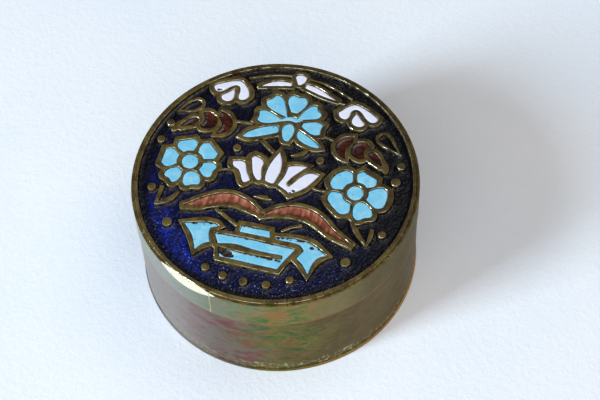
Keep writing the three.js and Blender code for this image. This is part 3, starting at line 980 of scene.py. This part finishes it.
@dataclass
class Enamels:
    """The glass in the cells and the dark ground around them.

    Attributes:
        nodes: The frame's solids by name.
        cutter: Makes the plates from the solids' outlines.
        grain: The size of the mesh on a cell's surface.
        ground_grain: The size of the mesh on the ground.
        rounding: How far a cell's edge dips to the brass.
        heave: How far a cell's surface rises and falls.
        grit: How far the ground's surface rises and falls.
        climb: How far from the brass the glass starts to climb it.
        skin: How much of the glass, from its surface down, climbs.
    """

    nodes: dict[str, bpy.types.Object]
    cutter: OutlineCutter
    grain: float = 0.14 * MM
    ground_grain: float = 0.17 * MM
    rounding: float = 0.12 * MM
    heave: float = 0.05 * MM
    grit: float = 0.16 * MM
    climb: float = 0.55 * MM
    skin: float = 0.3 * MM
    chips: dict[str, list[Chip]] = field(default_factory=dict)
    finishes: dict[Slot, EnamelFinish] = field(default_factory=dict)

    def __post_init__(self) -> None:
        """Fills in the cells' finishes and the places of the chips."""
        grime = srgb(38, 22, 12)
        self.finishes = {
            Slot.TURQUOISE: EnamelFinish(
                "turquoise_enamel", srgb(116, 192, 222), srgb(166, 214, 224), srgb(44, 84, 110), grime,
                0.42, speck_share=0.12,
            ),
            Slot.WHITE: EnamelFinish(
                "white_enamel", srgb(224, 224, 238), srgb(236, 230, 238), srgb(86, 72, 70), grime,
                0.42, speck_share=0.06,
            ),
            Slot.COPPER_RED: EnamelFinish(
                "copper_red_enamel", srgb(112, 52, 34), srgb(190, 118, 88), srgb(60, 20, 12),
                srgb(44, 20, 10), 0.34, speck_share=0.3, speck_scale=1.6, cloud_share=0.9,
                stain_depth=0.3, streak=(2.6, 0.7, 1.0),
            ),
            Slot.MAROON: EnamelFinish(
                "maroon_enamel", srgb(34, 8, 5), srgb(104, 40, 20), srgb(16, 4, 4), srgb(24, 12, 6),
                0.26, speck_share=0.25, speck_scale=1.8, cloud_share=0.6, stain_depth=0.3,
                streak=(0.8, 1.8, 1.0),
            ),
        }
        bare = [Chip(-6.5, -18.75, 1.0, 0.5), Chip(-5.4, -19.2, 1.05, 0.5), Chip(-4.6, -19.5, 0.7, 0.45)]
        self.chips = {
            "basket_bands": [
                *bare,
                *chipped_edge((-8.8, -14.95, 0), (7.6, -15.2, 0), 30, 0.16, 3),
                *chipped_edge((-3.6, -18.5, 0), (5.6, -18.6, 0), 18, 0.22, 5),
                *chipped_edge((3.2, -18.6, 0), (5.2, -18.6, 0), 5, 0.34, 7),
            ],
            "basket_collar": chipped_edge((-4.0, -12.1, 0), (2.0, -12.2, 0), 12, 0.16, 11),
            "basket_left_handle": chipped_edge((-14.5, -13.9, 0), (-9.4, -12.9, 0), 12, 0.17, 13),
            "basket_right_handle": [
                *chipped_edge((3.6, -13.5, 0), (9.2, -13.1, 0), 22, 0.2, 17),
                Chip(11.2, -14.3, 0.42, 0.5),
                *chipped_edge((10.2, -13.2, 0), (13.6, -14.8, 0), 8, 0.18, 19),
            ],
            "lotus_right_petals": [Chip(4.3, -1.7, 0.34, 0.4), Chip(3.7, -2.3, 0.25, 0.4)],
            "left_fan_arch": [Chip(-17.4, 20.0, 0.35, 0.4), Chip(-16.9, 20.2, 0.25, 0.3)],
            "bow_left_strip": chipped_edge((-6.4, 23.3, 0), (-3.0, 24.0, 0), 7, 0.2, 23),
        }

    def slot_of(self, node: str, record: dict) -> Slot:
        """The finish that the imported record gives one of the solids."""
        slots = {part["node"]: part["material_slot"] for part in record["subparts"]}
        return Slot(slots[node])

    def knock_out(self, piece: bpy.types.Object, chips: Sequence[Chip], top: float) -> None:
        """Breaks chips out of a cell's surface.

        Args:
            piece: The cell's mesh.
            chips: Where the glass has gone.
            top: The height of its surface.
        """
        ragged = cloud_texture("ragged_break", 0.45 * MM, noise_depth=3)
        for chip in chips:
            deselect_all()
            bpy.ops.mesh.primitive_ico_sphere_add(
                subdivisions=3,
                radius=chip.radius * MM,
                location=(chip.x * MM, chip.y * MM, top),
                scale=(1.25, 0.85, chip.depth / chip.radius),
            )
            lump = bpy.context.object
            apply_place(lump)
            apply_modifier(
                lump, "DISPLACE", texture=ragged, texture_coords="LOCAL", strength=0.5 * chip.radius * MM
            )
            apply_modifier(piece, "BOOLEAN", operation="DIFFERENCE", object=lump, solver="MANIFOLD")
            bpy.data.objects.remove(lump)

    def cell(self, node: bpy.types.Object, slot: Slot, material: bpy.types.Material) -> bpy.types.Object:
        """Makes one cell's glass: rounded to the brass, chipped where it was hit, uneven on top.

        Args:
            node: The frame's solid for the cell.
            slot: The record's name for its finish.
            material: Its material.

        Returns:
            The finished piece.
        """
        low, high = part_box(node.name)
        piece = self.cutter.plate(node, low.z, high.z, self.rounding)
        self.cutter.hand_cut(piece)
        self.knock_out(piece, self.chips.get(node.name, []), high.z)
        apply_modifier(piece, "REMESH", mode="VOXEL", voxel_size=self.grain)
        if slot in (Slot.COPPER_RED, Slot.MAROON, Slot.COBALT):
            self.draw_up_edges(piece, high.z, 0.25 * MM)
        apply_modifier(
            piece,
            "DISPLACE",
            texture=cloud_texture("fired_surface", 0.9 * MM, noise_depth=2),
            texture_coords="LOCAL",
            direction="Z",
            strength=self.heave,
            mid_level=0.75,
        )
        finish_shape(piece, f"{node.name}_glass", 50)
        dress(piece, material, slot, node.name)
        return piece

    def draw_up_edges(self, piece: bpy.types.Object, top: float, height: float) -> None:
        """Draws the glass up where it meets the brass, as it flows when it is fired.

        Args:
            piece: The mesh of the glass.
            top: The height of its surface.
            height: How far it climbs the brass.
        """
        with editing(piece):
            select_faces(
                piece,
                lambda face: abs(face.normal.z) < 0.6 and face.calc_center_median().z > top - self.skin,
            )
            bpy.ops.transform.translate(
                value=(0, 0, height),
                use_proportional_edit=True,
                proportional_edit_falloff="SHARP",
                proportional_size=self.climb,
            )

    def ground(self, node: bpy.types.Object, material: bpy.types.Material) -> bpy.types.Object:
        """Makes the dark ground, gritty and pitted all over.

        Args:
            node: The frame's solid for the ground.
            material: Its material.

        Returns:
            The finished piece.
        """
        low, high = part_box(node.name)
        piece = self.cutter.plate(node, low.z, high.z, self.rounding)
        self.cutter.hand_cut(piece)
        apply_modifier(piece, "REMESH", mode="VOXEL", voxel_size=self.ground_grain)
        self.draw_up_edges(piece, high.z, 0.3 * MM)
        for name, size, share in (("gritty", 0.5 * MM, 1.0), ("settled", 3.0 * MM, 1.2)):
            apply_modifier(
                piece,
                "DISPLACE",
                texture=cloud_texture(name, size, noise_depth=2),
                texture_coords="LOCAL",
                direction="Z",
                strength=self.grit * share,
                mid_level=0.6,
            )
        finish_shape(piece, f"{node.name}_glass", 60)
        dress(piece, material, Slot.COBALT, node.name)
        return piece

    def build(self, record: dict) -> None:
        """Makes every enamel of the lid.

        Args:
            record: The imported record, which gives each solid's finish.
        """
        materials: dict[Slot, bpy.types.Material] = {
            Slot.COBALT: GroundFinish().material(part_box(Node.GROUND.value)[1].z)
        }
        for name, node in sorted(self.nodes.items()):
            if name in (Node.BASE.value, Node.WALL.value, Node.BAND.value, Node.PLATE.value):
                continue
            slot = self.slot_of(name, record)
            if slot not in materials:
                materials[slot] = self.finishes[slot].material(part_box(name)[1].z)
            if name == Node.GROUND.value:
                self.ground(node, materials[slot])
            else:
                self.cell(node, slot, materials[slot])


@dataclass(frozen=True)
class FiledFlat:
    """The flat that was filed across the lid's top edge.

    Attributes:
        radius: The lid's radius.
        top: The height of its top.
        angle: Where around the box the flat is, in degrees.
        inset: How far it cuts into the top.
        height: How far down the side it reaches.
    """

    radius: float
    top: float
    angle: float = 246.5
    inset: float = 0.85 * MM
    height: float = 1.75 * MM

    def cut(self, piece: bpy.types.Object) -> None:
        """Cuts the flat across a piece."""
        turn = Matrix.Rotation(math.radians(self.angle), 3, "Z")
        slope = math.atan2(self.inset, self.height)
        with editing(piece):
            bpy.ops.mesh.select_all(action="SELECT")
            bpy.ops.mesh.bisect(
                plane_co=turn @ Vector((self.radius - self.inset, 0, self.top)),
                plane_no=turn @ Vector((math.cos(slope), 0, math.sin(slope))),
                use_fill=True,
                clear_outer=True,
            )


@dataclass
class LidPlate:
    """The cast plate: a disc with a rim, raised walls and studs.

    Attributes:
        nodes: The frame's solids by name.
        cutter: Makes the walls from the plate's own outlines.
        flat: The flat that was filed across the edge.
        rounding: How far the walls' edges are worn.
        keyed: How far the walls run down into the disc before they are joined.
        sides: The sides of the disc.
    """

    nodes: dict[str, bpy.types.Object]
    cutter: OutlineCutter
    flat: "FiledFlat"
    rounding: float = 0.15 * MM
    keyed: float = 0.2 * MM
    sides: int = 192

    def build(self) -> bpy.types.Object:
        """Makes the plate as one mesh.

        Returns:
            The finished piece.
        """
        node = self.nodes[Node.PLATE.value]
        low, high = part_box(node.name)
        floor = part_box(Node.GROUND.value)[0].z
        walls = self.cutter.plate(node, floor - self.keyed, high.z, self.rounding, 3)
        LOG.debug("relief walls: %d faces", len(walls.data.polygons))
        self.cutter.hand_cut(walls)
        deselect_all()
        radius = (high.x - low.x) / 2
        inset = 0.15 * MM
        bpy.ops.mesh.primitive_cylinder_add(
            vertices=self.sides,
            radius=radius - inset,
            depth=floor - low.z,
            location=(0, 0, (floor + low.z) / 2),
        )
        plate = bpy.context.object
        apply_place(plate)
        apply_modifier(plate, "BOOLEAN", operation="UNION", object=walls, solver="MANIFOLD")
        bpy.data.objects.remove(walls)
        self.flat.cut(plate)
        finish_shape(plate, "lid_relief", 50, flat_faces=True)
        dress(plate, ReliefFinish().material(high.z, self.flat), Slot.RELIEF, node.name)
        return plate


@dataclass(frozen=True)
class Nick:
    """A nick across the top of the band.

    Attributes:
        angle: Its place around the box, in degrees.
        width: Its width along the rim, in millimetres.
        depth: Its depth, in millimetres.
    """

    angle: float
    width: float
    depth: float


@dataclass
class LidBand:
    """The strip of sheet brass around the lid, soldered at one seam and filed at one edge.

    Attributes:
        low: The box's lowest corner of the band.
        high: Its highest corner.
        strip: The thickness of the sheet.
        sides: The sides of the ring.
        rounding: How far its edges are worn.
        flat: The flat that was filed across the edge.
    """

    low: Vector
    high: Vector
    flat: FiledFlat
    strip: float = 0.6 * MM
    sides: int = 240
    rounding: float = 0.12 * MM
    nicks: tuple[Nick, ...] = (Nick(218.2, 0.4, 0.14), Nick(334.6, 0.5, 0.2), Nick(310.7, 0.35, 0.12))

    def build(self) -> bpy.types.Object:
        """Makes the band.

        Returns:
            The finished piece.
        """
        outer = self.high.x
        band = spun_ring(
            [
                (outer - self.strip, self.low.z),
                (outer, self.low.z),
                (outer, self.high.z),
                (outer - self.strip, self.high.z),
            ],
            self.sides,
            rows=6,
        )
        round_edges(band, self.rounding, 2)
        self.flat.cut(band)
        self.cut_nicks(band)
        finish_shape(band, "lid_band_brass", 32, flat_faces=True)
        finish = TarnishFinish(
            "band_brass",
            # The band's pale far-left colour is a painted reflection; its darker right colours are painted shade.
            painted_reflection_left=srgb(176, 182, 178),
            left=srgb(132, 142, 118),
            front=(
                (0.0, srgb(78, 106, 68)),
                (0.28, srgb(102, 120, 66)),
                (0.5, srgb(138, 124, 64)),
                (0.72, srgb(156, 114, 64)),
                (1.0, srgb(152, 102, 78)),
            ),
            right=srgb(126, 112, 76),
            dark=srgb(88, 74, 46),
            blush=srgb(140, 142, 134),
            blush_share=0.5,
            rim=self.high.z / MM,
        )
        dress(band, finish.material(self.flat), Slot.BAND, Node.BAND.value)
        return band

    def cut_nicks(self, band: bpy.types.Object) -> None:
        """Cuts the nicks into the top edge."""
        for nick in self.nicks:
            turn = Matrix.Rotation(math.radians(nick.angle), 3, "Z")
            place = turn @ Vector((self.high.x - self.strip / 2, 0, 0))
            deselect_all()
            bpy.ops.mesh.primitive_uv_sphere_add(
                segments=20,
                ring_count=10,
                radius=1,
                location=(place.x, place.y, self.high.z),
                rotation=(0, 0, math.radians(nick.angle + 8)),
                scale=(self.strip * 1.2, nick.width / 2 * MM, nick.depth * MM),
            )
            cut = bpy.context.object
            apply_place(cut)
            apply_modifier(band, "BOOLEAN", operation="DIFFERENCE", object=cut, solver="EXACT")
            bpy.data.objects.remove(cut)


# ---------------------------------------------------------------- turned pieces


def spun_ring(section: Sequence[tuple[float, float]], sides: int, rows: int = 1) -> bpy.types.Object:
    """Spins a closed section of (radius, height) around the box's axis.

    Args:
        section: The corners of the section, in order around it.
        sides: The sides of the ring.
        rows: How many rows of faces each side of the section is cut into.

    Returns:
        The mesh object.
    """
    deselect_all()
    radii = [corner[0] for corner in section]
    heights = [corner[1] for corner in section]
    bpy.ops.mesh.primitive_circle_add(vertices=len(section), radius=max(radii), fill_type="NOTHING")
    ring = bpy.context.object
    for vertex, (radius, height) in zip(ring.data.vertices, section, strict=True):
        vertex.co = (radius, 0, height)
    with editing(ring):
        bpy.ops.mesh.select_all(action="SELECT")
        if rows > 1:
            bpy.ops.mesh.subdivide(number_cuts=rows - 1)
        bpy.ops.mesh.select_all(action="SELECT")
        bpy.ops.mesh.spin(steps=sides, angle=math.tau, center=(0, 0, 0), axis=(0, 0, 1))
        bpy.ops.mesh.select_all(action="SELECT")
        bpy.ops.mesh.remove_doubles(threshold=WELD)
        bpy.ops.mesh.normals_make_consistent(inside=False)
    LOG.debug("ring of %d corners from %.4f to %.4f", len(section), min(heights), max(heights))
    return ring


def round_edges(piece: bpy.types.Object, width: float, steps: int) -> None:
    """Rounds the edges that run around a turned piece.

    Args:
        piece: The mesh object.
        width: How far each edge is rounded.
        steps: The steps in the rounding.
    """
    with editing(piece):
        select_edges(piece, lambda edge: edge.is_manifold and edge.calc_face_angle() > math.radians(60))
        bpy.ops.mesh.bevel(offset=width, segments=steps, affect="EDGES", clamp_overlap=True)


@dataclass
class Box:
    """The box below the lid: its wall with the hidden collar, and the disc that closes it below.

    Attributes:
        wall: The lowest and highest corner of the wall.
        base: The lowest and highest corner of the base.
        seam: The height of the shoulder that the lid rests on.
        collar: The radius of the collar.
        inner: The radius of the inside.
        sides: The sides of each ring.
        rounding: How far edges are worn.
        dent: How far the wall leaves a true round.
    """

    wall: tuple[Vector, Vector]
    base: tuple[Vector, Vector]
    seam: float
    collar: float
    inner: float
    sides: int = 240
    rounding: float = 0.12 * MM
    dent: float = 0.12 * MM

    def build(self) -> None:
        """Makes the wall and the base."""
        low, high = self.wall
        wall = spun_ring(
            [
                (self.inner, low.z),
                (high.x, low.z),
                (high.x, self.seam),
                (self.collar, self.seam),
                (self.collar, high.z),
                (self.inner, high.z),
            ],
            self.sides,
            rows=8,
        )
        round_edges(wall, self.rounding, 2)
        apply_modifier(
            wall,
            "DISPLACE",
            texture=cloud_texture("dented", 9 * MM, noise_depth=1),
            texture_coords="LOCAL",
            direction="NORMAL",
            strength=self.dent,
            mid_level=0.9,
        )
        finish_shape(wall, "box_wall_brass", 32)
        finish = TarnishFinish(
            "wall_brass",
            # The wall's pale far-left colour is a painted reflection; its darker right colours are painted shade.
            painted_reflection_left=srgb(174, 164, 166),
            left=srgb(126, 114, 108),
            front=(
                (0.0, srgb(58, 84, 48)),
                (0.24, srgb(82, 106, 54)),
                (0.46, srgb(112, 112, 58)),
                (0.62, srgb(150, 112, 60)),
                (0.76, srgb(104, 94, 56)),
                (1.0, srgb(126, 80, 70)),
            ),
            right=srgb(92, 74, 48),
            dark=srgb(94, 76, 48),
            blush=srgb(128, 68, 76),
            blush_share=0.9,
            scuffed_edge=3.0,
            seam_line=self.seam / MM,
        )
        dress(wall, finish.material(), Slot.WALL, Node.WALL.value)
        self.build_base()

    def build_base(self) -> bpy.types.Object:
        """Makes the disc below.

        Returns:
            The finished piece.
        """
        low, high = self.base
        deselect_all()
        bpy.ops.mesh.primitive_cylinder_add(
            vertices=self.sides,
            radius=high.x,
            depth=high.z - low.z,
            location=(0, 0, (high.z + low.z) / 2),
        )
        base = bpy.context.object
        apply_place(base)
        round_edges(base, self.rounding, 2)
        finish_shape(base, "base_brass_disc", 32)
        finish = TarnishFinish(
            "base_brass",
            # The base's pale far-left colour is a painted reflection; its orange right colours are a painted
            # highlight.
            painted_reflection_left=srgb(160, 156, 154),
            left=srgb(128, 118, 104),
            front=((0.0, srgb(80, 86, 44)), (0.5, srgb(116, 106, 48)), (1.0, srgb(150, 112, 50))),
            right=srgb(150, 122, 64),
            dark=srgb(156, 116, 58),
            blush=srgb(110, 92, 70),
            blush_share=0.5,
            roughness=0.42,
            streak=(0.5, 0.5, 1.0),
        )
        dress(base, finish.material(), Slot.BASE, Node.BASE.value)
        return base


# ---------------------------------------------------------------- the studio


@dataclass(frozen=True)
class Panel:
    """A flat panel of light that faces the box.

    Attributes:
        name: Its name.
        heading: Its direction from the box, in degrees around from +X.
        rise: Its height above the floor, as an angle in degrees.
        distance: How far it hangs from the box.
        width: Its width.
        height: Its height.
        power: Its power, in watts.
        colour: Its colour.
    """

    name: str
    heading: float
    rise: float
    distance: float
    width: float
    height: float
    power: float
    colour: Colour


@dataclass
class Studio:
    """The camera, the pale floor and the soft light from the left.

    Attributes:
        eye: Where the camera stands.
        heading: The way it faces, in degrees to the left of straight on.
        dip: How steeply it looks down, in degrees.
        roll: How far it is turned about its own line of sight, in degrees.
        lens: The lens for a 36 mm sensor, in millimetres.
    """

    eye: tuple[float, float, float] = (59.24 * MM, -188.76 * MM, 333.4 * MM)
    heading: float = 16.0
    dip: float = 57.73
    roll: float = -2.935
    lens: float = 105.0
    floor_size: float = 6.0
    room: Colour = (0.07, 0.07, 0.075)
    panels: tuple[Panel, ...] = (
        Panel("window", 220.7, 26.8, 2.0, 0.5, 0.9, 43.0, (0.82, 1.0, 1.16)),
        Panel("bright_wall", 285.0, 48.0, 1.2, 1.6, 1.2, 7.6, (1.0, 0.985, 0.97)),
        Panel("ceiling", 40.0, 66.0, 1.5, 1.0, 1.0, 6.8, (1.0, 0.99, 0.98)),
    )

    def build(self) -> None:
        """Sets everything up."""
        self.add_camera()
        self.add_floor()
        self.add_lights()

    def add_camera(self) -> None:
        """Adds the camera."""
        data = bpy.data.cameras.new("camera")
        data.lens = self.lens
        data.sensor_width = 36.0
        data.clip_start = 0.01
        data.clip_end = 20.0
        camera = bpy.data.objects.new("camera", data)
        camera.location = self.eye
        turn = Matrix.Rotation(math.radians(self.heading), 3, "Z")
        tilt = Matrix.Rotation(math.radians(90 - self.dip), 3, "X")
        roll = Matrix.Rotation(math.radians(self.roll), 3, "Z")
        camera.rotation_euler = (turn @ tilt @ roll).to_euler()
        bpy.context.scene.collection.objects.link(camera)
        bpy.context.scene.camera = camera

    def add_floor(self) -> None:
        """Adds the floor, white with a faint tooth."""
        deselect_all()
        bpy.ops.mesh.primitive_plane_add(size=self.floor_size, location=(0, 0, 0))
        floor = bpy.context.object
        floor.name = "floor"
        bench = new_bench("floor_paper")
        tooth = bench.noise(0.7, 4, 0.7)
        colour = bench.mix(bench.between(bench.noise(0.02, 3), 0.3, 0.7), srgb(234, 238, 244), srgb(240, 241, 243))
        floor.data.materials.append(
            bench.surface(Base_Color=colour, Roughness=0.85, Normal=bench.bump(tooth, 0.7, 0.2 * MM))
        )

    def add_lights(self) -> None:
        """Adds the light of a window at the left, weak light from the room, and dim surroundings."""
        for panel in self.panels:
            self.add_panel(panel)
        world = bpy.data.worlds.new("surroundings")
        world.use_nodes = True
        background = world.node_tree.nodes["Background"]
        background.inputs["Color"].default_value = (*self.room, 1.0)
        bpy.context.scene.world = world
        bpy.context.scene.view_settings.view_transform = "Standard"

    def add_panel(self, panel: Panel) -> None:
        """Adds one panel of light."""
        data = bpy.data.lights.new(panel.name, "AREA")
        data.shape = "RECTANGLE"
        data.size = panel.width
        data.size_y = panel.height
        data.energy = panel.power
        data.color = panel.colour
        light = bpy.data.objects.new(panel.name, data)
        heading = math.radians(panel.heading)
        rise = math.radians(panel.rise)
        toward = Vector(
            (math.cos(heading) * math.cos(rise), math.sin(heading) * math.cos(rise), math.sin(rise))
        )
        light.location = toward * panel.distance
        light.rotation_euler = toward.to_track_quat("Z", "Y").to_euler()
        bpy.context.scene.collection.objects.link(light)


# ---------------------------------------------------------------- main


def main() -> None:
    """Builds the dressed box, piece by piece."""
    logging.basicConfig(level=logging.INFO, format="%(message)s", stream=sys.stdout)
    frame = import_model()
    nodes = frame["nodes"]
    deselect_all()
    Studio().build()
    cutter = OutlineCutter()
    band_low, band_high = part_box(Node.BAND.value)
    flat = FiledFlat(radius=band_high.x, top=band_high.z)
    LidPlate(nodes, cutter, flat).build()
    Enamels(nodes, cutter).build(frame["record"])
    LidBand(band_low, band_high, flat).build()
    Box(
        wall=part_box(Node.WALL.value),
        base=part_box(Node.BASE.value),
        seam=band_low.z,
        collar=29.3 * MM,
        inner=28.6 * MM,
    ).build()


if __name__ == "__main__":
    main()
